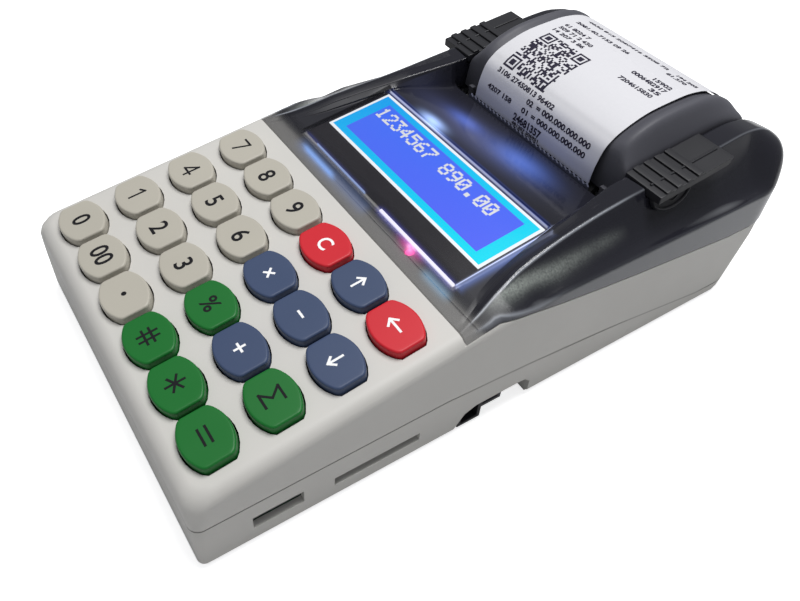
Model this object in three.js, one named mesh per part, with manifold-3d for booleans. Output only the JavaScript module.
// A portable receipt printing till: keypad in front, lit display under a smoked cover, and a paper bay
// with a lid that swings up from the front. Millimetres, X to the user's right, Y away from the user,
// Z up. The origin is on the table, under the middle of the body.
import * as THREE from "three";
import { mergeVertices } from "three/addons/utils/BufferGeometryUtils.js";
import Module from "manifold-3d";

const wasm = await Module();
wasm.setup();

// Driving dimensions: keypad
const keyPitch = 17.8;
const keyColumns = 6;
const keyRows = 4;
const sideMargin = 5.3;
const frontMargin = 2.4;
const rearMargin = 3.1;
const plateTilt = THREE.MathUtils.degToRad(9.5);

// Driving dimensions: body, along Y from the front
const displaySetback = 8.9;
const stripDepth = 8.1;
const glassWidth = 80.4;
const glassDepth = 25.2;
const valleyDepth = 24.7;
const slotDepth = 4.9;
const bayLength = 60;
const tailDepth = 6.5;

// Driving dimensions: heights above the table
const frontHeight = 28.3;
const crestHeight = 66.5;
const hingeHeight = 42;
const platenHeight = 38.8;
const slotHeight = 44.8;

// Driving dimensions: walls and gaps
const shellWall = 2;
const coverWall = 1.8;
const lidWall = 2;
const plateThickness = 2.2;
const seatGap = 0.3;
const seamGap = 0.3;
const edgeRadius = 4;
const frontCornerRadius = 8;
const footCornerRadius = 2.2;
const rearCornerRadius = 20;
const padHeight = 0.8;
const overrun = 5;
const weldDistance = 0.0001;

// Places that follow from them
const halfWidth = (keyColumns * keyPitch) / 2 + sideMargin;
const keypadDepth = keyRows * keyPitch;
const coverDistance = frontMargin + keypadDepth + rearMargin;
const stripDistance = coverDistance + displaySetback;
const glassDistance = stripDistance + stripDepth;
const valleyDistance = glassDistance + glassDepth;
const slotDistance = valleyDistance + valleyDepth;
const lidDistance = slotDistance + slotDepth;
const hingeDistance = lidDistance + bayLength;
const bodyLength = hingeDistance + tailDepth;
const front = -bodyLength / 2;
const rear = bodyLength / 2;
const coverStart = front + coverDistance;
const stripStart = front + stripDistance;
const glassStart = front + glassDistance;
const valleyStart = front + valleyDistance;
const slotStart = front + slotDistance;
const lidStart = front + lidDistance;
const hingeY = front + hingeDistance;
const keypadY = front + frontMargin + keypadDepth / 2;
const coverLength = rear - coverStart;
const floorTop = padHeight + shellWall;
const coverCrown = 2.2;
const coverHeight = frontHeight + bodyLength * Math.tan(plateTilt) + coverCrown;

const colours = {
  shell: 0xd3d1ca,
  smoke: 0x2c2e34,
  lid: 0x26272b,
  cream: 0xd9d6c6,
  red: 0xd2323f,
  blue: 0x4a5b78,
  green: 0x2a8547,
  rubber: 0x3a3b3c,
  board: 0x1f5a3a,
  steel: 0xb4b6b8,
  dark: 0x1b1c1e,
  lit: 0x3050f0,
  clear: 0xd8e6f2,
  lamp: 0xff5a8c,
  paper: 0xf4f4f0,
  card: 0xb59a72,
  gear: 0xe8e4d8,
  battery: 0x3158a0,
};

const assembly = new THREE.Group();

// Tools: solids from closed outlines and rings

// The height of the sloping keypad plate at y.
function plateHeight(y) {
  return frontHeight + (y - front) * Math.tan(plateTilt);
}

// A closed geometry as a solid.
function solid(geometry) {
  const bare = geometry.clone();
  bare.deleteAttribute("normal");
  bare.deleteAttribute("uv");
  const merged = mergeVertices(bare, weldDistance);
  return new wasm.Manifold(
    new wasm.Mesh({
      numProp: 3,
      vertProperties: merged.attributes.position.array,
      triVerts: new Uint32Array(merged.index.array),
    }),
  );
}

// A solid as a geometry.
function geometryOf(body) {
  const mesh = body.getMesh();
  const geometry = new THREE.BufferGeometry();
  geometry.setAttribute("position", new THREE.BufferAttribute(mesh.vertProperties, 3));
  geometry.setIndex(new THREE.BufferAttribute(mesh.triVerts, 1));
  geometry.computeVertexNormals();
  return geometry;
}

// Puts a named piece into a group, in a colour of its own.
function place(name, shape, colour, finish = {}, group = assembly) {
  const geometry = shape.isBufferGeometry ? shape : geometryOf(shape);
  const { roughness = 0.5, metalness = 0 } = finish;
  const material = new THREE.MeshStandardMaterial({ color: colour, roughness, metalness });
  const mesh = new THREE.Mesh(geometry, material);
  mesh.name = name;
  group.add(mesh);
  return mesh;
}

function outline(points) {
  return new THREE.Shape(points.map(([a, b]) => new THREE.Vector2(a, b)));
}

function extrusion(points, depth) {
  return new THREE.ExtrudeGeometry(outline(points), { depth, bevelEnabled: false });
}

// An outline of [y, z] points, extruded along X.
function prismX(points, x0, x1) {
  const turn = new THREE.Matrix4().makeBasis(
    new THREE.Vector3(0, 1, 0),
    new THREE.Vector3(0, 0, 1),
    new THREE.Vector3(1, 0, 0),
  );
  return solid(extrusion(points, x1 - x0).applyMatrix4(turn).translate(x0, 0, 0));
}

// An outline of [x, z] points, extruded along Y.
function prismY(points, y0, y1) {
  const turn = new THREE.Matrix4().makeBasis(
    new THREE.Vector3(1, 0, 0),
    new THREE.Vector3(0, 0, 1),
    new THREE.Vector3(0, -1, 0),
  );
  return solid(extrusion(points, y1 - y0).applyMatrix4(turn).translate(0, y1, 0));
}

// An outline of [x, y] points, extruded along Z.
function prismZ(points, z0, z1) {
  return solid(extrusion(points, z1 - z0).translate(0, 0, z0));
}

function box(x0, x1, y0, y1, z0, z1) {
  const geometry = new THREE.BoxGeometry(x1 - x0, y1 - y0, z1 - z0);
  return solid(geometry.translate((x0 + x1) / 2, (y0 + y1) / 2, (z0 + z1) / 2));
}

// A round bar along X.
function barX(y, z, radius, x0, x1, sides = 16) {
  const geometry = new THREE.CylinderGeometry(radius, radius, x1 - x0, sides);
  return solid(geometry.rotateZ(Math.PI / 2).translate((x0 + x1) / 2, y, z));
}

// A closed skin through rings that all have as many points. Its ends are filled in the plane that flatten
// gives, or by bands between the halves of a ring that mirror each other.
function loft(rings, flatten) {
  const count = rings[0].length;
  const positions = rings.flat(2);
  const indices = [];
  for (let ring = 0; ring + 1 < rings.length; ring += 1) {
    for (let i = 0; i < count; i += 1) {
      const a = ring * count + i;
      const b = ring * count + ((i + 1) % count);
      indices.push(a, b, b + count, a, b + count, a + count);
    }
  }
  const bands = [];
  for (let i = 0; i + 1 < count / 2; i += 1) {
    const j = count - 1 - i;
    bands.push([i, i + 1, j - 1], [i, j - 1, j]);
  }
  const cap = (ring) => {
    if (!flatten) return bands;
    const flat = rings[ring].map((point) => new THREE.Vector2(...flatten(point)));
    const faces = THREE.ShapeUtils.triangulateShape(flat, []);
    const turned = THREE.ShapeUtils.area(flat) > 0;
    return faces.map((face) => (turned ? face : [face[0], face[2], face[1]]));
  };
  const last = rings.length - 1;
  for (const [a, b, c] of cap(0)) indices.push(a, c, b);
  for (const [a, b, c] of cap(last)) indices.push(last * count + a, last * count + b, last * count + c);
  const geometry = new THREE.BufferGeometry();
  geometry.setAttribute("position", new THREE.Float32BufferAttribute(positions, 3));
  geometry.setIndex(indices);
  return solid(geometry);
}

// The body's rear face tucks in towards the table.
const tuckDepth = 12;
const tuckHeight = 29;
const tuckStart = rear - rearCornerRadius - tuckDepth;

function tucked(y, z) {
  const low = Math.min(Math.max(1 - (z - padHeight) / tuckHeight, 0), 1);
  const back = Math.max((y - tuckStart) / (rear - tuckStart), 0);
  return y - tuckDepth * Math.pow(low, 1.5) * back;
}

// The front corners are sharper towards the table.
function frontRadius(z) {
  const share = Math.min(Math.max((z - padHeight) / (frontHeight - padHeight), 0), 1);
  return footCornerRadius + (frontCornerRadius - footCornerRadius) * Math.pow(share, 4);
}

// Points around the body's outline, at a distance inside it, each at its own height.
const sideStations = 14;
const cornerSteps = 6;

function bodyRing(inset, heightAt) {
  const frontCorner = frontRadius(heightAt(front));
  const corners = [
    { x: 1, y: -1, radius: frontCorner, start: -Math.PI / 2 },
    { x: 1, y: 1, radius: rearCornerRadius, start: 0 },
    { x: -1, y: 1, radius: rearCornerRadius, start: Math.PI / 2 },
    { x: -1, y: -1, radius: frontCorner, start: Math.PI },
  ];
  const flat = [];
  for (const { x, y, radius, start } of corners) {
    const cx = x * (halfWidth - radius);
    const cy = y < 0 ? front + radius : rear - radius;
    const inner = Math.max(radius - inset, weldDistance * 10);
    for (let i = 0; i <= cornerSteps; i += 1) {
      const angle = start + ((Math.PI / 2) * i) / cornerSteps;
      flat.push([cx + inner * Math.cos(angle), cy + inner * Math.sin(angle)]);
    }
    if (x === 1 && y < 0) flat.push(...sidePoints(halfWidth - inset));
    if (x === -1 && y > 0) flat.push(...sidePoints(inset - halfWidth).reverse());
  }
  return flat.map(([x, y]) => {
    const z = heightAt(y);
    return [x, tucked(y, z), z];
  });
}

function sidePoints(x) {
  const start = front + frontCornerRadius;
  const span = rear - rearCornerRadius - start;
  const points = [];
  for (let i = 1; i < sideStations; i += 1) points.push([x, start + (span * i) / sideStations]);
  return points;
}

const flatXY = ([x, y]) => [x, y];
const flatXZ = ([x, y, z]) => [x, z];

// Straight lines between the points of a list, for heights that change along Y.
function along(points, y) {
  if (y <= points[0][0]) return points[0][1];
  for (let i = 1; i < points.length; i += 1) {
    const [y1, z1] = points[i];
    const [y0, z0] = points[i - 1];
    if (y <= y1) return z0 + ((z1 - z0) * (y - y0)) / (y1 - y0);
  }
  return points[points.length - 1][1];
}

// The seam between lower and upper shell, as shares of the body's length and of the front height.
const lowerSeamShares = [
  [0, 0.63],
  [0.34, 0.65],
  [0.48, 0.57],
  [0.64, 0.44],
  [0.74, 0.32],
  [0.84, 0.2],
  [1, 0.18],
];
const lowerSeam = lowerSeamShares.map(([a, b]) => [front + a * bodyLength, b * frontHeight]);

// The seam between upper shell and display cover, as shares of the cover's length and height.
const coverSeamShares = [
  [0.08, 0.625],
  [0.15, 0.61],
  [0.235, 0.578],
  [0.35, 0.545],
  [0.46, 0.517],
  [0.67, 0.472],
  [0.78, 0.448],
  [1, 0.446],
];
const coverSeam = [
  [coverStart, plateHeight(coverStart) - coverWall],
  ...coverSeamShares.map(([a, b]) => [coverStart + a * coverLength, b * coverHeight]),
];

// The solid above the cover's seam, lifted by a clearance.
function aboveCoverSeam(lift, setback) {
  const points = coverSeam.map(([y, z]) => [y, z + lift]);
  points[0][0] += setback;
  points[points.length - 1][0] += overrun;
  const top = coverHeight + overrun;
  points.push([rear + overrun, top], [points[0][0], top]);
  return prismX(points, -halfWidth - overrun, halfWidth + overrun);
}

// Keys: their outline, their holes in the plate and what lies under them
const keyHalfWidth = 8;
const keyHalfSide = 4.4;
const keyHalfDepth = 6.7;
const keyCornerRadius = 1.2;
const keyRise = 2.5;
const keyChamfer = 0.8;
const keyClearance = 0.45;
const keyTravel = 1.5;
const keyWall = 1.3;
const keyRoof = 1.5;
const keySkirt = 2;
const flangeThickness = 1;
const flangeHalfWidth = 6;
const flangeReach = 1.3;
const matThickness = 1;
const boardThickness = 1.6;
const domeRadius = 3.4;
const domeTopRadius = 2.2;
const keyBottom = -(plateThickness + keySkirt);
const matTop = keyBottom - keyTravel - seatGap;
const boardTop = matTop - matThickness - seatGap;

// A key's outline: straight sides and bulging front and back, grown by a distance.
function keyOutline(grow, steps = 6) {
  const w = keyHalfWidth + grow;
  const s = keyHalfSide + grow;
  const d = keyHalfDepth + grow;
  const sag = d - s;
  const bulge = w - keyCornerRadius;
  const radius = (bulge * bulge + sag * sag) / (2 * sag);
  const sweep = Math.asin(bulge / radius);
  const half = [[w, s - keyCornerRadius]];
  for (let i = 0; i <= steps; i += 1) {
    const angle = sweep - (2 * sweep * i) / steps;
    half.push([radius * Math.sin(angle), d - radius + radius * Math.cos(angle)]);
  }
  half.push([-w, s - keyCornerRadius]);
  return [...half, ...half.map(([x, y]) => [-x, -y])];
}

function keyShape() {
  const ring = (grow, z) => keyOutline(grow).map(([x, y]) => [x, y, z]);
  const body = loft(
    [ring(0, keyBottom), ring(0, keyRise - keyChamfer), ring(-keyChamfer, keyRise)],
    flatXY,
  );
  const flangeTop = -plateThickness - seatGap;
  const reach = keyHalfDepth + flangeReach;
  const flangeBottom = flangeTop - flangeThickness;
  const flange = box(-flangeHalfWidth, flangeHalfWidth, -reach, reach, flangeBottom, flangeTop);
  const hollow = prismZ(keyOutline(-keyWall, 4), keyBottom - overrun, keyRise - keyRoof);
  return body.add(flange).subtract(hollow);
}

const keyColours = [
  ["cream", "cream", "cream", "green", "green", "green"],
  ["cream", "cream", "cream", "green", "blue", "green"],
  ["cream", "cream", "cream", "blue", "blue", "blue"],
  ["cream", "cream", "cream", "red", "blue", "red"],
];
const keyNames = [
  ["key_0", "key_00", "key_point", "key_hash", "key_star", "key_equals"],
  ["key_1", "key_2", "key_3", "key_percent", "key_plus", "key_sum"],
  ["key_4", "key_5", "key_6", "key_times", "key_minus", "key_down"],
  ["key_7", "key_8", "key_9", "key_clear", "key_up", "key_back"],
];

const keyPlaces = [];
for (let row = 0; row < keyRows; row += 1) {
  for (let column = 0; column < keyColumns; column += 1) {
    keyPlaces.push({
      x: (column - (keyColumns - 1) / 2) * keyPitch,
      y: (row - (keyRows - 1) / 2) * keyPitch,
      name: keyNames[row][column],
      colour: colours[keyColours[row][column]],
    });
  }
}

// The keypad's own frame: its origin is on the plate, over the middle of the keys.
const keypad = new THREE.Group();
keypad.position.set(0, keypadY, plateHeight(keypadY));
keypad.rotation.x = plateTilt;
assembly.add(keypad);
keypad.updateMatrix();

const keyGeometry = geometryOf(keyShape());
for (const { x, y, name, colour } of keyPlaces) {
  const key = place(name, keyGeometry, colour, { roughness: 0.55 }, keypad);
  key.position.set(x, y, 0);
}

const keypadHalfDepth = (keypadDepth + rearMargin) / 2 - shellWall;
const boardHalfWidth = halfWidth - shellWall - seatGap * 2;
const bossSize = 3.4;
const matHalfWidth = boardHalfWidth - bossSize;

function keypadMat() {
  let mat = box(
    -matHalfWidth, matHalfWidth, -keypadHalfDepth, keypadHalfDepth, matTop - matThickness, matTop,
  );
  const domeTop = keyRise - keyRoof - keyTravel - seatGap;
  const height = domeTop - matTop + matThickness / 2;
  const cone = new THREE.CylinderGeometry(domeTopRadius, domeRadius, height, 8).rotateX(Math.PI / 2);
  for (const { x, y } of keyPlaces) {
    mat = mat.add(solid(cone.clone().translate(x, y, domeTop - height / 2)));
  }
  return mat;
}
place("keypad_mat", keypadMat(), colours.rubber, { roughness: 0.8 }, keypad);

// A board's outline with its corners cut off.
function cutCorners(w, d, cut) {
  const half = [[w, cut - d], [w, d - cut], [w - cut, d], [cut - w, d]];
  return [...half, ...half.map(([x, y]) => [-x, -y])];
}
const boardCorner = frontCornerRadius * 0.7;
const boardOutline = cutCorners(boardHalfWidth, keypadHalfDepth, boardCorner);
place("keypad_board", prismZ(boardOutline, boardTop - boardThickness, boardTop), colours.board, {}, keypad);

// Upper shell
const ledgeDepth = displaySetback - seatGap;
const ledgeDrop = 2.4;
const lampX = 22.4;
const lampSetback = 6.6;
const lampRadius = 1.5;
const lampHeight = 3.2;
const onPlate = (y) => (y - keypadY) / Math.cos(plateTilt);
const lampY = onPlate(coverStart + lampSetback);

function upperShell() {
  const seam = (y) => along(lowerSeam, y) + seamGap;
  const top = (y) => plateHeight(y);
  const mix = (share) => (y) => seam(y) + share * (top(y) - edgeRadius - seam(y));
  const rings = [bodyRing(0, seam), bodyRing(0, mix(0.35)), bodyRing(0, mix(0.7)), bodyRing(0, mix(1))];
  for (let i = 1; i <= 4; i += 1) {
    const angle = ((Math.PI / 2) * i) / 4;
    const inset = edgeRadius * (1 - Math.cos(angle));
    const drop = edgeRadius * (1 - Math.sin(angle));
    rings.push(bodyRing(inset, (y) => top(y) - drop));
  }
  const outer = loft(rings, flatXY);
  const low = (y) => seam(y) - overrun;
  const ceiling = (y) => top(y) - plateThickness;
  const inner = loft(
    [
      bodyRing(shellWall, low),
      bodyRing(shellWall, mix(0.35)),
      bodyRing(shellWall, mix(0.7)),
      bodyRing(shellWall, (y) => top(y) - edgeRadius),
      bodyRing(shellWall + edgeRadius - plateThickness, ceiling),
    ],
    flatXY,
  );
  let shell = outer.subtract(inner).subtract(aboveCoverSeam(-seamGap, -seamGap / 2));
  const ledgeTop = (y) => plateHeight(y) - coverWall - seamGap;
  const ledgeFrom = coverStart - shellWall;
  const ledgeTo = coverStart + ledgeDepth;
  const ledge = prismX(
    [
      [ledgeFrom, ledgeTop(ledgeFrom)],
      [ledgeFrom, ledgeTop(ledgeFrom) - ledgeDrop],
      [ledgeTo, ledgeTop(ledgeTo) - ledgeDrop],
      [ledgeTo, ledgeTop(ledgeTo)],
    ],
    -halfWidth + shellWall / 2,
    halfWidth - shellWall / 2,
  );
  shell = shell.add(ledge.subtract(aboveCoverSeam(-seamGap, -seamGap / 2)));
  const holes = [];
  for (const { x, y } of keyPlaces) {
    const hole = extrusion(keyOutline(keyClearance), plateThickness + 2 * overrun);
    hole.translate(x, y, -plateThickness - overrun).applyMatrix4(keypad.matrix);
    holes.push(solid(hole));
  }
  shell = shell.subtract(wasm.Manifold.union(holes));
  const lampRoom = lampRadius + seatGap;
  const lampHole = new THREE.CylinderGeometry(lampRoom, lampRoom, 4 * overrun, 12);
  lampHole.rotateX(Math.PI / 2).translate(lampX, lampY, 0).applyMatrix4(keypad.matrix);
  shell = shell.subtract(solid(lampHole));
  const bossTop = -plateThickness / 2;
  const bossBottom = boardTop + seatGap;
  for (const sx of [-1, 1]) {
    for (const sy of [-1, 1]) {
      const x = sx * (boardHalfWidth - bossSize / 2 + seatGap);
      const y = sy * (keypadHalfDepth - boardCorner - bossSize / 2);
      const boss = new THREE.BoxGeometry(bossSize, bossSize, bossTop - bossBottom);
      boss.translate(x, y, (bossTop + bossBottom) / 2).applyMatrix4(keypad.matrix);
      shell = shell.add(solid(boss));
    }
  }
  return shell;
}
place("upper_shell", upperShell(), colours.shell, { roughness: 0.6 });

// Lower shell: tray, openings on the right side, bay for the connectors, battery hatch
const portWidth = 14.2;
const portHeight = 4.8;
const portHeightAboveTable = 7.2;
const portDistance = 21.9;
const slotWidth = 27;
const cardHeight = 3.2;
const cardHeightAboveTable = 7;
const cardDistance = 51.5;
const archDistance = 78.5;
const archWidth = 27;
const archHeight = 9;
const archDepth = 11;
const archRound = 4;
const hatchHalfWidth = 38;
const hatchDistance = 84.5;
const hatchLength = 40;
const bottomChamfer = 1.5;
const mainBoardTop = 6.7;
const mainBoardLeft = 20;
const padSize = 9;
const standRadius = 3;

const archStart = front + archDistance;
const archEnd = archStart + archWidth;
const archInner = halfWidth - archDepth;
const hatchStart = front + hatchDistance;
const hatchEnd = hatchStart + hatchLength;
const cardY = front + cardDistance;
const portY = front + portDistance;
const mainBoard = {
  x0: -mainBoardLeft,
  x1: halfWidth - shellWall - seatGap,
  y0: front + frontCornerRadius + shellWall / 2,
  y1: archStart - shellWall - archRound,
};

// The arch's outline, from the front corner on: each point is on its front or rear side, then come its
// distance along Y and its drop below the top, as shares of the rounding.
const archFrontShares = [
  [1.6, 0],
  [0.6, 0.4],
  [0.2, 1],
];
const archFootShares = [-0.2, 0.4, -0.6];
const archRearShare = 0.6;

function archOutline(grow) {
  const top = archHeight + grow;
  const y0 = archStart - grow;
  const y1 = archEnd + grow;
  const [lean, rise, foot] = archFootShares;
  return [
    [y0 - grow, -overrun],
    [y1, -overrun],
    [y1, top - archRound * archRearShare],
    [y1 - archRound * archRearShare, top],
    ...archFrontShares.map(([away, drop]) => [y0 + away * archRound, top - drop * archRound]),
    [y0 + lean * archRound, padHeight + rise * archRound],
    [y0 + foot * archRound, padHeight],
  ];
}

function lowerShell() {
  const seam = (y) => along(lowerSeam, y);
  const mid = (y) => (seam(y) + padHeight + bottomChamfer) / 2;
  const outer = loft(
    [
      bodyRing(bottomChamfer, () => padHeight),
      bodyRing(0, () => padHeight + bottomChamfer),
      bodyRing(0, mid),
      bodyRing(0, seam),
    ],
    flatXY,
  );
  const inner = loft(
    [
      bodyRing(shellWall + bottomChamfer / 2, () => floorTop),
      bodyRing(shellWall, () => floorTop + bottomChamfer / 2),
      bodyRing(shellWall, (y) => Math.max(mid(y), floorTop + bottomChamfer)),
      bodyRing(shellWall, (y) => seam(y) + overrun),
    ],
    flatXY,
  );
  let shell = outer.subtract(inner);
  const bay = prismX(archOutline(shellWall), archInner - shellWall, halfWidth - shellWall / 2);
  const bayFloorUp = box(-halfWidth, halfWidth, front, rear, padHeight, hingeHeight);
  shell = shell.add(bay.intersect(bayFloorUp));
  shell = shell.subtract(prismX(archOutline(0), archInner, halfWidth + overrun));
  const wallX0 = halfWidth - shellWall - overrun;
  const wallX1 = halfWidth + overrun;
  const port = box(
    wallX0, wallX1, portY - portWidth / 2, portY + portWidth / 2,
    portHeightAboveTable, portHeightAboveTable + portHeight,
  );
  const card = box(
    wallX0, wallX1, cardY - slotWidth / 2, cardY + slotWidth / 2,
    cardHeightAboveTable, cardHeightAboveTable + cardHeight,
  );
  const hatch = box(
    -hatchHalfWidth - seatGap, hatchHalfWidth + seatGap, hatchStart - seatGap, hatchEnd + seatGap,
    -overrun, floorTop + overrun,
  );
  shell = shell.subtract(port).subtract(card).subtract(hatch);
  const padInset = frontCornerRadius + padSize;
  for (const sx of [-1, 1]) {
    for (const y of [front + padInset, rear - tuckDepth - rearCornerRadius]) {
      const x = sx * (halfWidth - padInset);
      const half = padSize / 2;
      shell = shell.add(box(x - half, x + half, y - half, y + half, 0, padHeight + shellWall / 2));
    }
  }
  const standTop = mainBoardTop - boardThickness - seatGap;
  for (const x of [mainBoard.x0 + standRadius, archInner - standRadius]) {
    for (const y of [mainBoard.y0 + standRadius, mainBoard.y1 - standRadius]) {
      const stand = new THREE.CylinderGeometry(standRadius, standRadius, standTop - padHeight * 2, 12);
      stand.rotateX(Math.PI / 2).translate(x, y, (standTop + padHeight * 2) / 2);
      shell = shell.add(solid(stand));
    }
  }
  return shell;
}
place("lower_shell", lowerShell(), colours.shell, { roughness: 0.6 });
place(
  "battery_door",
  box(-hatchHalfWidth, hatchHalfWidth, hatchStart, hatchEnd, padHeight, padHeight + shellWall),
  colours.shell, { roughness: 0.65 },
);

// Main board and what is on it
place(
  "main_board",
  box(mainBoard.x0, mainBoard.x1, mainBoard.y0, mainBoard.y1, mainBoardTop - boardThickness, mainBoardTop),
  colours.board,
);
const connectorWall = 0.4;
const portDepth = 14;
const cardDepth = 26;
const socketGap = shellWall + seatGap;

function usbPort() {
  const y = portWidth / 2 - connectorWall;
  const z0 = mainBoardTop + seatGap;
  const z1 = portHeightAboveTable + portHeight + connectorWall;
  const x1 = halfWidth - socketGap;
  const shell = box(x1 - portDepth, x1, portY - y - connectorWall, portY + y + connectorWall, z0, z1);
  const hollow = box(
    x1 - portDepth + 3 * connectorWall, x1 + overrun, portY - y + connectorWall, portY + y - connectorWall,
    z0 + connectorWall, z1 - connectorWall,
  );
  const middle = (z0 + z1) / 2;
  const tongue = box(
    x1 - portDepth + connectorWall, x1 - portDepth / 2, portY - y + 3 * connectorWall,
    portY + y - 3 * connectorWall, middle + 2 * connectorWall, z1 - 3 * connectorWall,
  );
  return shell.subtract(hollow).add(tongue);
}
place("usb_port", usbPort(), colours.steel, { roughness: 0.35, metalness: 0.9 });

function cardSocket() {
  const y = slotWidth / 2;
  const z0 = mainBoardTop + seatGap;
  const z1 = cardHeightAboveTable + cardHeight;
  const x1 = halfWidth - socketGap;
  const shell = box(x1 - cardDepth, x1, cardY - y, cardY + y, z0, z1);
  return shell.subtract(
    box(
      x1 - cardDepth + 3 * connectorWall, x1 + overrun, cardY - y + 2 * connectorWall,
      cardY + y - 2 * connectorWall, z0 + connectorWall, z1 - connectorWall,
    ),
  );
}
place("card_socket", cardSocket(), colours.steel, { roughness: 0.35, metalness: 0.9 });

// Connectors in the arched bay: a round power inlet block and a data port on the inner wall
const inletSize = 6.6;
const connectorDrop = 1.2;
const inletDepth = 8;
const inletBore = 2.4;
const dataWidth = 7.6;
const dataHeight = 5.4;
const dataDepth = 4;

function powerInlet() {
  const x0 = archInner + seatGap;
  const y0 = archStart + archRound + seatGap;
  const z1 = archHeight - connectorDrop;
  const block = box(x0, x0 + inletDepth, y0, y0 + inletSize, z1 - inletSize, z1);
  const y = y0 + inletSize / 2;
  const z = z1 - inletSize / 2;
  const pin = barX(y, z, inletBore / 3, x0 + connectorWall, x0 + inletDepth - connectorWall, 8);
  return block.subtract(barX(y, z, inletBore, x0 + 3 * connectorWall, x0 + inletDepth + overrun)).add(pin);
}
place("power_inlet", powerInlet(), colours.dark, { roughness: 0.5 });

function dataPort() {
  const x0 = archInner + seatGap;
  const y0 = archStart + archRound + inletSize + 3 * seatGap;
  const z1 = archHeight - connectorDrop;
  const block = box(x0, x0 + dataDepth, y0, y0 + dataWidth, z1 - dataHeight, z1);
  return block.subtract(
    box(
      x0 + 3 * connectorWall, x0 + dataDepth + overrun, y0 + 2 * connectorWall,
      y0 + dataWidth - 2 * connectorWall, z1 - dataHeight + 2 * connectorWall, z1 - 2 * connectorWall,
    ),
  );
}
place("data_port", dataPort(), colours.dark, { roughness: 0.4 });

// Battery pack: two round cells in one sleeve
const cellRadius = 9.2;
const batteryHalfLength = 35;

function batteryPack() {
  const z = floorTop + seatGap + cellRadius;
  const middle = (hatchStart + hatchEnd) / 2;
  const points = [];
  const steps = 8;
  for (const side of [1, -1]) {
    for (let i = 0; i <= steps; i += 1) {
      const angle = -Math.PI / 2 + (Math.PI * i) / steps;
      const reach = cellRadius * (1 + Math.cos(angle));
      points.push([middle + side * reach, z + side * cellRadius * Math.sin(angle)]);
    }
  }
  return prismX(points, -batteryHalfLength, batteryHalfLength);
}
place("battery_pack", batteryPack(), colours.battery, { roughness: 0.4 });

// Display cover: a smoked shell with a rail along each side. Each row gives a place along the cover's
// length, then the ridge's place across the half width, the ridge's rise over the plate's plane as a share
// of the cover's height, the rail's inner edge across the half width, and how deep the side is scooped.
const railShares = [
  [0, 0.94, 0.002, 0.92, 0],
  [0.048, 0.91, 0.002, 0.87, 0],
  [0.111, 0.868, 0.02, 0.81, 0.05],
  [0.176, 0.838, 0.051, 0.775, 0.1],
  [0.241, 0.818, 0.055, 0.748, 0.12],
  [0.299, 0.804, 0.053, 0.724, 0.15],
  [0.345, 0.797, 0.048, 0.708, 0.18],
  [0.393, 0.792, 0.041, 0.69, 0.2],
  [0.44, 0.79, 0.031, 0.672, 0.22],
  [0.484, 0.789, 0.022, 0.659, 0.25],
  [0.52, 0.789, 0.017, 0.658, 0.27],
  [0.624, 0.789, 0.01, 0.658, 0.32],
  [0.732, 0.789, 0.003, 0.658, 0.35],
  [0.805, 0.785, -0.006, 0.658, 0.3],
  [0.877, 0.775, -0.044, 0.658, 0.15],
  [0.928, 0.77, -0.1, 0.658, 0.05],
  [0.964, 0.765, -0.155, 0.658, 0.04],
  [0.986, 0.75, -0.197, 0.658, 0.03],
  [1, 0.71, -0.24, 0.655, 0.03],
];
const creaseShare = 0.641;
const bayFloorShare = 0.511;
const railColumn = (column) => railShares.map((row) => [coverStart + row[0] * coverLength, row[column]]);
const ridgeWidths = railColumn(1);
const ridgeRises = railColumn(2);
const innerWidths = railColumn(3);
const scoops = railColumn(4);
const roundingShare = 0.3;
const middleWallShare = 0.4;
const ridgeWallShare = 0.6;
const railLean = 1.5;
const railDrop = 0.4;
const lidClearance = 0.4;
const lidHalfWidth = 37.9;
const bayHalfWidth = lidHalfWidth + lidClearance;

function ridgeHeight(y) {
  return plateHeight(y) + along(ridgeRises, y) * coverHeight;
}

// The valley behind the display falls in a soft curve to the paper slot.
function valleyHeight(y) {
  if (y <= valleyStart) return plateHeight(y);
  if (y >= lidStart) return bayFloorShare * coverHeight;
  const t = Math.min((y - valleyStart) / valleyDepth, 1);
  const ease = t * t * (3 - 2 * t);
  return plateHeight(valleyStart) + ease * (slotHeight - plateHeight(valleyStart));
}

// Corners of the cover's section at y, from the right wall up over the rail to the middle.
function coverCorners(y) {
  const ridge = [along(ridgeWidths, y) * halfWidth, ridgeHeight(y)];
  const crease = Math.min(plateHeight(y) - edgeRadius, creaseShare * coverHeight, ridge[1] - edgeRadius);
  const wall = [halfWidth, crease];
  const depth = along(scoops, y) * (ridge[1] - crease);
  const rounding = y < coverStart + edgeRadius ? edgeRadius * roundingShare : 0;
  const middle = [
    (wall[0] + ridge[0]) / 2 + rounding,
    (wall[1] + ridge[1]) / 2 - depth + rounding,
  ];
  const drop = Math.min(railDrop, Math.max(y - coverStart, 0));
  const inner = [along(innerWidths, y) * halfWidth, ridge[1] - drop];
  const lean = y < slotStart ? railLean : seatGap;
  const foot = [inner[0] - lean, valleyHeight(y)];
  return { wall, middle, ridge, inner, foot };
}

// The right half of a section with its mirror image, as a ring at y.
function sectionRing(half, y) {
  const whole = [...half, ...[...half].reverse().map(([x, z]) => [-x, z])];
  return whole.reverse().map(([x, z]) => [x, y, z]);
}

function coverSection(at, y, wall) {
  const corners = coverCorners(at);
  const low = bayFloorShare * coverHeight - 4 * overrun;
  const out = halfWidth + overrun;
  const half = [
    [out, low],
    [out, corners.wall[1] - wall],
    [corners.wall[0], corners.wall[1] - wall],
    [corners.middle[0] - wall * middleWallShare, corners.middle[1] - wall],
    [corners.ridge[0] - wall * ridgeWallShare, corners.ridge[1] - wall],
    [corners.inner[0] + wall, corners.inner[1] - wall],
    [corners.foot[0] + wall, corners.foot[1] - wall],
  ];
  return sectionRing(half, y);
}

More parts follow.
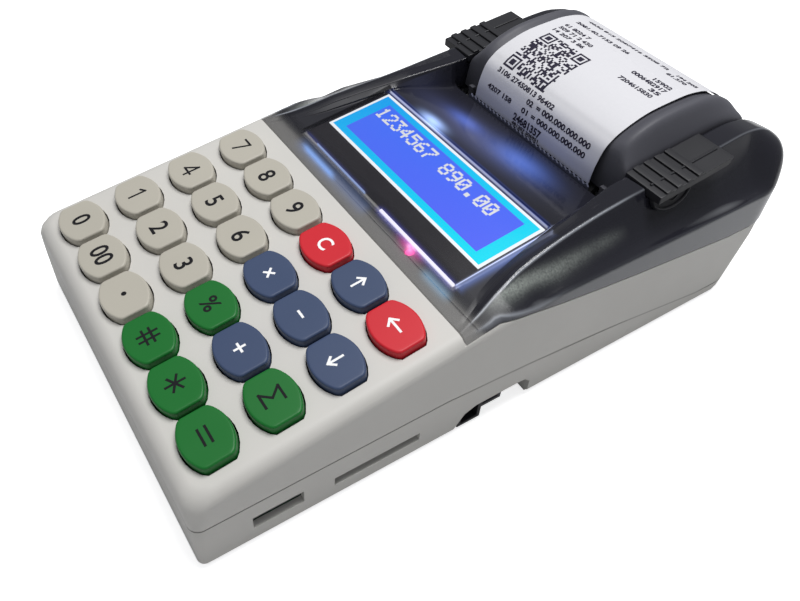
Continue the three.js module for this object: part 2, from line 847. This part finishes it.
function bodyPlan(inset) {
  return bodyRing(inset, () => tuckHeight + overrun).map(([x, y]) => [x, y]);
}

// Lid: its middle follows the shares below, of the height from the skirt to the crest, and its cheeks
// stand a little higher beside the paper
const cheekRise = 1.4;
const lidShares = [
  [0, 0.118, 0.2],
  [0.01, 0.383, 0.3],
  [0.03, 0.617, 0.5],
  [0.075, 0.741, 0.8],
  [0.16, 0.852, 1],
  [0.275, 0.944, 1],
  [0.44, 0.991, 1],
  [0.56, 1, 1],
  [0.69, 0.944, 1],
  [0.81, 0.796, 1],
  [0.91, 0.565, 0.6],
  [0.965, 0.321, 0.3],
  [1.02, 0.074, 0.2],
];
const lidSkirtDrop = 2;
const lidFoot = hingeHeight + lidSkirtDrop;
const lidRise = crestHeight - cheekRise - lidFoot;
const lidHeights = lidShares.map(([a, b]) => [lidStart + a * bayLength, lidFoot + b * lidRise]);
const cheekRises = lidShares.map(([a, , c]) => [lidStart + a * bayLength, c * cheekRise]);
const paperHalfWidth = 28.5;
const paperMargin = 1.2;
const cheekStep = 1;
const cheekSlope = 4.2;
const cheekInner = paperHalfWidth + paperMargin;
const cheekOuter = lidHalfWidth - cheekSlope;
const barrelRadius = 4.2;
const pinRadius = 1.5;
const boreGap = 0.3;
const platenSetback = 2.5;
const platenY = lidStart + platenSetback;
const shaftRadius = 2;
const bracketX = 32;
const bracketThickness = 2;
const bracketReach = 4;

// Gears between motor and platen
const gearModule = 0.9;
const gearAddendum = 0.7;
const gearDedendum = 0.95;
const gearX0 = 35.8;
const gearX1 = 37.6;
const platenTeeth = 12;
const idlerTeeth = 16;
const pinionTeeth = 8;
const platenGearRadius = (gearModule * platenTeeth) / 2;
const idlerGearRadius = (gearModule * idlerTeeth) / 2;
const pinionGearRadius = (gearModule * pinionTeeth) / 2;

function lidSection(y, wall) {
  const channel = along(lidHeights, y);
  const cheek = channel + along(cheekRises, y);
  const groove = Math.min(ridgeHeight(y) - railDrop, channel - seatGap);
  const low = lidFoot - 2 * wall;
  const side = lidHalfWidth - wall;
  const half = [
    [side, low],
    [side, groove - wall],
    [cheekOuter - wall / 2, cheek - railDrop - wall],
    [(cheekOuter + cheekInner) / 2, cheek - wall],
    [cheekInner, channel + seatGap - wall],
    [cheekInner - cheekStep, channel - wall],
  ];
  return sectionRing(half, y);
}

function paperLid() {
  const stations = lidHeights.map(([y]) => y);
  const outer = loft(stations.map((y) => lidSection(y, 0)), flatXZ);
  const innerEnd = hingeY - barrelRadius;
  const between = stations.filter((y) => y > stations[3] && y < innerEnd);
  const innerStations = [stations[0] + lidWall, ...between, innerEnd];
  const inner = loft(innerStations.map((y) => lidSection(y, lidWall)), flatXZ);
  let lid = outer.subtract(inner);
  for (const side of [-1, 1]) {
    const x0 = side > 0 ? bracketX : -bracketX - bracketThickness;
    const x1 = x0 + bracketThickness;
    const y0 = platenY - bracketReach;
    const y1 = platenY + bracketReach;
    const upper = box(x0, x1, y0, y1 + bracketReach, platenHeight, crestHeight + overrun);
    const lower = box(x0, x1, y0, y1, platenHeight, lidFoot + lidWall);
    const eye = barX(platenY, platenHeight, bracketReach, x0, x1);
    lid = lid.add(upper.intersect(outer)).add(lower).add(eye);
    lid = lid.subtract(barX(platenY, platenHeight, shaftRadius + boreGap, x0 - overrun, x1 + overrun));
  }
  const gearRoom = platenGearRadius + gearAddendum + boreGap;
  lid = lid.subtract(barX(platenY, platenHeight, gearRoom, gearX0 - boreGap, halfWidth));
  lid = lid.add(barX(hingeY, hingeHeight, barrelRadius, -lidHalfWidth, lidHalfWidth, 20));
  return lid.subtract(barX(hingeY, hingeHeight, pinRadius + boreGap, -halfWidth, halfWidth));
}
place("paper_lid", paperLid(), colours.lid, { roughness: 0.35 });
const pinHalfLength = bayHalfWidth + coverWall;
place(
  "hinge_pin", barX(hingeY, hingeHeight, pinRadius, -pinHalfLength, pinHalfLength, 12), colours.steel,
  { roughness: 0.3, metalness: 0.9 },
);

// Grips: a ribbed pad on each rail and a tongue that lies over the rail's side
const gripLength = 30;
const gripThickness = 2.6;
const gripRise = 0.5;
const gripOverhang = 0.9;
const gripLean = 0.5;
const ribCount = 4;
const ribPitch = 4.6;
const ribHeight = 0.6;
const ribStartShare = 0.6;
const ribWidth = 1.6;
const tongueStart = 0.6;
const tongueLength = 16;
const tongueDrop = 8.5;
const tongueThickness = 1.3;
const legWidth = 2.5;
const legLength = 6;
const legDrop = 8;
const gripInner = lidHalfWidth + seatGap;
const gripOuter = along(ridgeWidths, lidStart) * halfWidth + gripOverhang;

// The tongue's drop along its length, as shares of both.
const tongueShares = [
  [0, 0.6],
  [0.2, 0.9],
  [0.5, 1],
  [0.8, 0.9],
  [1, 0.6],
];

// A band that follows the ridge from y0 to y1, between two heights over it.
function gripProfile(y0, y1, top, bottom) {
  const steps = 6;
  const upper = [];
  const lower = [];
  const ends = [y1 + (top - gripRise) * gripLean, y1 + (bottom - gripRise) * gripLean];
  for (let i = 0; i <= steps; i += 1) {
    const [a, b] = ends.map((end) => y0 + ((end - y0) * i) / steps);
    upper.unshift([a, ridgeHeight(a) + top]);
    lower.push([b, ridgeHeight(b) + bottom]);
  }
  return [...lower, ...upper];
}

function lidGrip(side) {
  const y0 = lidStart;
  const span = (x0, x1) => (side > 0 ? [x0, x1] : [-x1, -x0]);
  const pad = gripProfile(y0, y0 + gripLength, gripRise, gripRise - gripThickness);
  let grip = prismX(pad, ...span(gripInner, gripOuter));
  for (let i = 0; i < ribCount; i += 1) {
    const y = y0 + ribPitch * (i + ribStartShare);
    const rib = gripProfile(y, y + ribWidth, gripRise + ribHeight, gripRise - ribHeight);
    grip = grip.add(prismX(rib, ...span(gripInner, gripOuter)));
  }
  const rings = tongueShares.map(([share, drop]) => {
    const y = y0 + tongueStart + share * tongueLength;
    const { ridge, middle } = coverCorners(y);
    const length = Math.hypot(middle[0] - ridge[0], ridge[1] - middle[1]);
    const down = [(middle[0] - ridge[0]) / length, (middle[1] - ridge[1]) / length];
    const out = [-down[1], down[0]];
    const at = (far, off) => [
      side * (ridge[0] + down[0] * far + out[0] * off),
      y,
      ridge[1] + down[1] * far + out[1] * off,
    ];
    const near = lidClearance;
    const far = lidClearance + tongueThickness;
    return [at(0, near), at(0, far), at(drop * tongueDrop, far), at(drop * tongueDrop, near)];
  });
  if (side < 0) rings.forEach((ring) => ring.reverse());
  grip = grip.add(loft(rings, flatXZ));
  const legX = (gripInner + gripOuter - legWidth) / 2;
  const [x0, x1] = span(legX, legX + legWidth);
  const legY = y0 + legLength / 2;
  const legTop = ridgeHeight(legY) - gripThickness / 2;
  return grip.add(box(x0, x1, legY, legY + legLength, legTop - legDrop, legTop));
}
const gripFinish = { roughness: 0.45 };
place("lid_grip_right", lidGrip(1), colours.lid, gripFinish);
place("lid_grip_left", lidGrip(-1), colours.lid, gripFinish);

const bendShares = [0, 0.08, 0.25];

function displayCover() {
  const stations = railShares.map(([share]) => coverStart + share * coverLength);
  const bends = bendShares.map((share) => valleyStart + share * valleyDepth);
  stations.push(...bends, lidStart - seatGap, lidStart);
  stations.sort((a, b) => a - b);
  const last = stations.length - 1;
  const ring = (wall) => stations.map((at, i) => {
    const end = i === 0 ? -overrun : overrun;
    return coverSection(at, i === 0 || i === last ? at + end : at, wall);
  });
  const outer = loft(ring(0)).intersect(prismZ(bodyPlan(0), 0, coverHeight * 2));
  const plan = prismZ(bodyPlan(coverWall), -overrun, coverHeight * 2);
  const inner = loft(ring(coverWall)).intersect(plan);
  let cover = outer.subtract(inner).intersect(aboveCoverSeam(0, seamGap / 2));
  const high = coverHeight + overrun;
  const wallTop = hingeHeight - lidSkirtDrop - seatGap;
  cover = cover.subtract(box(-bayHalfWidth, bayHalfWidth, slotStart, rear - coverWall, 0, high));
  cover = cover.subtract(box(-bayHalfWidth, bayHalfWidth, hingeY - overrun, rear + overrun, wallTop, high));
  cover = cover.subtract(barX(hingeY, hingeHeight, pinRadius + boreGap, -pinHalfLength, pinHalfLength));
  for (const side of [-1, 1]) {
    const gap = lidClearance;
    const bottom = gripRise - gripThickness - gap;
    const profile = gripProfile(lidStart - gap, lidStart + gripLength + gap, overrun, bottom);
    const x0 = bayHalfWidth - overrun;
    const x1 = gripOuter + gap;
    cover = cover.subtract(prismX(profile, ...(side > 0 ? [x0, x1] : [-x1, -x0])));
  }
  return cover;
}
place("display_cover", displayCover(), colours.smoke, { roughness: 0.15 });

// Display, in the keypad plate's tilted frame: frame with a strip in front, lit glass, board, light bar
const lcdClearance = 0.6;
const lcdTop = -(coverWall + lcdClearance);
const lcdThickness = 5;
const lcdHalfWidth = 42.5;
const lcdRearMargin = 1.6;
const glassThickness = 1.2;
const lightDepth = 1.2;
const lightLeft = -33.5;
const lightRight = 40.2;
const notchLeft = -4.8;
const notchRight = 4.4;

const lcdFront = onPlate(stripStart);
const lcdRear = onPlate(valleyStart + lcdRearMargin);
const glassFront = onPlate(glassStart);

function lcdFrame() {
  const bottom = lcdTop - lcdThickness;
  const frame = box(-lcdHalfWidth, lcdHalfWidth, lcdFront, lcdRear, bottom, lcdTop);
  const pocket = box(
    -glassWidth / 2 - boreGap, glassWidth / 2 + boreGap, glassFront, glassFront + glassDepth,
    lcdTop - glassThickness - 2 * seatGap, lcdTop + overrun,
  );
  const step = box(
    lightLeft - seatGap, lightRight + seatGap, lcdFront - overrun, lcdFront + lightDepth + seatGap,
    lcdTop - lightDepth - seatGap, lcdTop + overrun,
  );
  return frame.subtract(pocket).subtract(step);
}
place("lcd_frame", lcdFrame(), colours.dark, { roughness: 0.5 }, keypad);
place(
  "lcd_glass",
  box(
    -glassWidth / 2, glassWidth / 2, glassFront + seatGap, glassFront + glassDepth - seatGap,
    lcdTop - glassThickness - seatGap, lcdTop - seatGap,
  ),
  colours.lit, { roughness: 0.1 }, keypad,
);
const lcdBoardTop = lcdTop - lcdThickness - seatGap;
place(
  "lcd_board",
  box(
    -lcdHalfWidth + shellWall, lcdHalfWidth - shellWall, lcdFront + shellWall, lcdRear - shellWall,
    lcdBoardTop - boardThickness, lcdBoardTop,
  ),
  colours.board, {}, keypad,
);

function lightBar() {
  const bar = box(lightLeft, lightRight, lcdFront, lcdFront + lightDepth, lcdTop - lightDepth, lcdTop);
  const notchTop = lcdTop - lightDepth / 2;
  return bar.subtract(
    box(notchLeft, notchRight, lcdFront - overrun, lcdRear, notchTop, lcdTop + overrun),
  );
}
place("light_bar", lightBar(), colours.clear, { roughness: 0.1 }, keypad);

const lamp = new THREE.CylinderGeometry(lampRadius, lampRadius, lampHeight, 12).rotateX(Math.PI / 2);
place(
  "status_led", solid(lamp.translate(lampX, lampY, lcdTop - lampHeight / 2)), colours.lamp,
  { roughness: 0.2 }, keypad,
);

// A gear's outline of [y, z] points round its own centre, with the middle of a tooth at an angle.
const rootShare = 0.29;
const tipShare = 0.13;

function gearOutline(teeth, phase) {
  const radius = (gearModule * teeth) / 2;
  const pitch = (Math.PI * 2) / teeth;
  const points = [];
  for (let i = 0; i < teeth; i += 1) {
    const middle = phase + i * pitch;
    for (const [share, r] of [
      [-rootShare, radius - gearDedendum],
      [-tipShare, radius + gearAddendum],
      [tipShare, radius + gearAddendum],
      [rootShare, radius - gearDedendum],
    ]) {
      const angle = middle + share * pitch;
      points.push([r * Math.cos(angle), r * Math.sin(angle)]);
    }
  }
  return points;
}

function gear(teeth, phase, y, z, bore) {
  const points = gearOutline(teeth, phase).map(([a, b]) => [y + a, z + b]);
  return prismX(points, gearX0, gearX1).subtract(barX(y, z, bore, gearX0 - overrun, gearX1 + overrun));
}

// Centres of the gears, and the angles at which a tooth of one meets a gap of the other.
const idlerZ = platenHeight - platenGearRadius - idlerGearRadius;
const pinionAngle = THREE.MathUtils.degToRad(200);
const pinionReach = idlerGearRadius + pinionGearRadius;
const motorY = platenY + pinionReach * Math.cos(pinionAngle);
const motorZ = idlerZ + pinionReach * Math.sin(pinionAngle);
const idlerPitch = (Math.PI * 2) / idlerTeeth;
const idlerPhase = Math.PI / 2 + idlerPitch / 2;
const gapPast = (pinionAngle - Math.PI / 2) % idlerPitch;
const pinionPhase = pinionAngle - Math.PI + (gapPast * idlerTeeth) / pinionTeeth;
const axleRadius = 1.5;
const motorShaftRadius = 1;

place(
  "platen_gear", gear(platenTeeth, -Math.PI / 2, platenY, platenHeight, shaftRadius + boreGap), colours.gear,
  { roughness: 0.45 },
);
place("idler_gear", gear(idlerTeeth, idlerPhase, platenY, idlerZ, axleRadius + boreGap), colours.gear);

// Platen: roller and shaft
const rollerRadius = 4.5;
const rollerHalfLength = 29;
const shaftLeft = 34.9;
const shaftRight = 38;

place(
  "platen_roller",
  barX(platenY, platenHeight, rollerRadius, -rollerHalfLength, rollerHalfLength, 24)
    .subtract(barX(platenY, platenHeight, shaftRadius + boreGap, -halfWidth, halfWidth)),
  colours.rubber, { roughness: 0.8 },
);
place(
  "platen_shaft", barX(platenY, platenHeight, shaftRadius, -shaftLeft, shaftRight), colours.steel,
  { roughness: 0.3, metalness: 0.9 },
);

// Printer frame: two side plates with notches for the platen, a deck and a cross wall
const sidePlate = 1;
const sidePlateX = 34.4;
const frameDepth = 28;
const frameBehind = 5;
const frameRise = 2.7;
const crossWallSetback = 3.5;
const frameRear = platenY + frameBehind;
const frameFront = frameRear - frameDepth;
const frameTop = platenHeight + frameRise;
const frameLow = floorTop + seatGap;
const deckTop = 13.5;
const deckThickness = 1.5;
const crossWallY = frameFront + crossWallSetback;
const crossWallTop = 38;
const notchGap = 0.4;
const motorRadius = 6.5;
const motorLength = 20;

function printerFrame() {
  const notch = shaftRadius + notchGap;
  const side = [
    [frameFront, frameLow],
    [frameRear, frameLow],
    [frameRear, frameTop],
    [platenY + notch, frameTop],
    [platenY + notch, platenHeight - shaftRadius / 2],
    [platenY + notch / 2, platenHeight - notch],
    [platenY - notch / 2, platenHeight - notch],
    [platenY - notch, platenHeight - shaftRadius / 2],
    [platenY - notch, frameTop],
    [platenY - 2 * notch, frameTop],
    [crossWallY, crossWallTop],
    [frameFront, crossWallTop - shellWall],
  ];
  let frame = prismX(side, sidePlateX, sidePlateX + sidePlate);
  frame = frame.add(prismX(side, -sidePlateX - sidePlate, -sidePlateX));
  const reach = sidePlateX + sidePlate / 2;
  frame = frame.add(box(-reach, reach, frameFront, frameRear, deckTop - deckThickness, deckTop));
  frame = frame.add(
    box(-reach, reach, crossWallY, crossWallY + deckThickness, deckTop - deckThickness, crossWallTop),
  );
  const axleEnd = gearX1 + seatGap;
  frame = frame.add(barX(platenY, idlerZ, axleRadius, sidePlateX + sidePlate / 2, axleEnd));
  return frame.subtract(
    barX(motorY, motorZ, motorShaftRadius + boreGap, sidePlateX - sidePlate, sidePlateX + 2 * sidePlate),
  );
}
place("printer_frame", printerFrame(), colours.steel, { roughness: 0.4, metalness: 0.8 });

const motorX1 = sidePlateX - seatGap;
const shaftBoreDepth = 5;
place(
  "feed_motor",
  barX(motorY, motorZ, motorRadius, motorX1 - motorLength, motorX1, 20)
    .subtract(barX(motorY, motorZ, motorShaftRadius + boreGap, motorX1 - shaftBoreDepth, halfWidth, 12)),
  colours.steel, { roughness: 0.35, metalness: 0.8 },
);
const pinionShaft = barX(
  motorY, motorZ, motorShaftRadius, motorX1 - shaftBoreDepth + seatGap, gearX1 + seatGap, 12,
);
place(
  "motor_pinion", gear(pinionTeeth, pinionPhase, motorY, motorZ, motorShaftRadius / 2).add(pinionShaft),
  colours.gear,
);

// Print head: the block that the paper passes, on a plate that a spring pushes towards the platen
const nipGap = 0.9;
const headFace = platenY - rollerRadius - nipGap;
const headDepth = 5.7;
const headHalfWidth = 30;
const headLow = 31;
const headTop = 38;
const headPlate = 1.5;
const headPlateHalfWidth = 34.1;
const headPlateRise = 1.2;
const springHalfWidth = 14;
const springThickness = 0.5;
const springLow = 33;
const springHigh = 36;

const headBack = headFace - headDepth;
place(
  "print_head",
  box(-headHalfWidth, headHalfWidth, headBack, headFace, headLow, headTop).add(
    box(
      -headPlateHalfWidth, headPlateHalfWidth, headBack - headPlate, headBack,
      headLow - headPlateRise, headTop + headPlateRise,
    ),
  ),
  colours.dark, { roughness: 0.4 },
);

function headSpring() {
  const y0 = crossWallY + deckThickness + seatGap;
  const bow = headBack - headPlate - seatGap - springThickness - y0;
  const steps = 12;
  const near = [];
  const back = [];
  for (let i = 0; i <= steps; i += 1) {
    const share = (2 * i) / steps - 1;
    const y = y0 + bow * (1 - share * share);
    near.push([share * springHalfWidth, y]);
    back.unshift([share * springHalfWidth, y + springThickness]);
  }
  return prismZ([...near, ...back], springLow, springHigh);
}
place("head_spring", headSpring(), colours.steel, { roughness: 0.3, metalness: 0.9 });

// Tear bar: a toothed blade on the slot's front edge
const bladeHalfWidth = 30;
const bladeThickness = 0.6;
const bladeLow = 41;
const bladeRise = 1.4;
const toothPitch = 2;
const toothHeight = 0.8;

function tearBar() {
  const top = slotHeight + bladeRise;
  const points = [
    [-bladeHalfWidth, bladeLow],
    [bladeHalfWidth, bladeLow],
  ];
  for (let x = bladeHalfWidth; x > -bladeHalfWidth; x -= toothPitch) {
    points.push([x, top - toothHeight], [x - toothPitch / 2, top]);
  }
  points.push([-bladeHalfWidth, top - toothHeight]);
  const y0 = slotStart + seatGap;
  return prismY(points, y0, y0 + bladeThickness);
}
place("tear_bar", tearBar(), colours.steel, { roughness: 0.25, metalness: 0.9 });

// Paper: tub, roll on its core, web under the platen, receipt over the lid
const tubRoom = 6.5;
const tubRadius = bayLength / 2 - tubRoom;
const tubWall = 1.5;
const tubHalfWidth = 31.3;
const tubFrontRim = 33;
const tubRearRim = 36;
const rollRoom = 3.5;
const rollRadius = tubRadius - rollRoom;
const coreRadius = 6.5;
const coreBore = 5;
const rollSetback = bayLength / 2;
const rollY = platenY + rollSetback;
const tubZ = frameLow + tubRadius + tubWall;
const rollZ = tubZ - tubRadius + rollRadius + seatGap;

function tubOutline(radius, lift) {
  const start = Math.PI - Math.asin((tubFrontRim - tubZ) / radius);
  const end = Math.PI * 2 + Math.asin((tubRearRim - tubZ) / radius);
  const steps = 24;
  const points = [];
  for (let i = 0; i <= steps; i += 1) {
    const angle = start + ((end - start) * i) / steps;
    points.push([rollY + radius * Math.cos(angle), tubZ + radius * Math.sin(angle)]);
  }
  const [firstY, firstZ] = points[0];
  const [lastY, lastZ] = points[points.length - 1];
  if (lift > 0) points.push([lastY, lastZ + lift], [firstY, firstZ + lift]);
  return points;
}

place(
  "paper_tub",
  prismX(tubOutline(tubRadius + tubWall, 0), -tubHalfWidth, tubHalfWidth)
    .subtract(prismX(tubOutline(tubRadius, overrun), -tubHalfWidth + tubWall, tubHalfWidth - tubWall)),
  colours.dark, { roughness: 0.55 },
);
place(
  "paper_roll",
  barX(rollY, rollZ, rollRadius, -paperHalfWidth, paperHalfWidth, 40)
    .subtract(barX(rollY, rollZ, coreRadius + boreGap, -halfWidth, halfWidth, 20)),
  colours.paper, { roughness: 0.9 },
);
place(
  "roll_core",
  barX(rollY, rollZ, coreRadius, -paperHalfWidth, paperHalfWidth, 20)
    .subtract(barX(rollY, rollZ, coreBore, -halfWidth, halfWidth, 20)),
  colours.card, { roughness: 0.85 },
);

// A sheet of a thickness along a line of [y, z] points.
function sheet(line, thickness, halfSpan) {
  const left = [];
  const right = [];
  line.forEach(([y, z], i) => {
    const [y0, z0] = line[Math.max(i - 1, 0)];
    const [y1, z1] = line[Math.min(i + 1, line.length - 1)];
    const length = Math.hypot(y1 - y0, z1 - z0);
    const out = [(-(z1 - z0) / length) * (thickness / 2), ((y1 - y0) / length) * (thickness / 2)];
    left.unshift([y + out[0], z + out[1]]);
    right.push([y - out[0], z - out[1]]);
  });
  return prismX([...right, ...left], -halfSpan, halfSpan);
}

const paperThickness = 0.3;
const paperGap = 0.2;

function paperWeb() {
  const small = rollerRadius + paperGap + paperThickness / 2;
  const large = rollRadius + paperGap + paperThickness / 2;
  const across = rollY - platenY;
  const down = rollZ - platenHeight;
  const tangent = Math.atan2(down, across) + Math.asin((small + large) / Math.hypot(across, down));
  const leave = tangent - Math.PI / 2 + Math.PI * 2;
  const steps = 10;
  const line = [];
  for (let i = 0; i <= steps; i += 1) {
    const angle = Math.PI + ((leave - Math.PI) * i) / steps;
    line.push([platenY + small * Math.cos(angle), platenHeight + small * Math.sin(angle)]);
  }
  const meet = tangent + Math.PI / 2;
  line.push([rollY + large * Math.cos(meet), rollZ + large * Math.sin(meet)]);
  return sheet(line, paperThickness, paperHalfWidth);
}
place("paper_web", paperWeb(), colours.paper, { roughness: 0.9 });

// The receipt's line as shares of the bay's length from the lid's front, and of the height from the
// platen to the crest.
const receiptLift = 1.2;
const receiptFoot = platenHeight + receiptLift;
const receiptRise = crestHeight - receiptFoot;
const receiptShares = [
  [-0.042, 0.001],
  [-0.048, 0.189],
  [-0.038, 0.385],
  [-0.014, 0.571],
  [0.008, 0.664],
  [0.04, 0.731],
  [0.075, 0.787],
  [0.16, 0.87],
  [0.275, 0.942],
  [0.44, 0.98],
  [0.56, 0.987],
  [0.69, 0.942],
  [0.81, 0.827],
  [0.88, 0.714],
];
const receiptLine = receiptShares.map(([a, b]) => [lidStart + a * bayLength, receiptFoot + b * receiptRise]);
place("receipt", sheet(receiptLine, paperThickness, paperHalfWidth), colours.paper, { roughness: 0.9 });

export default assembly;
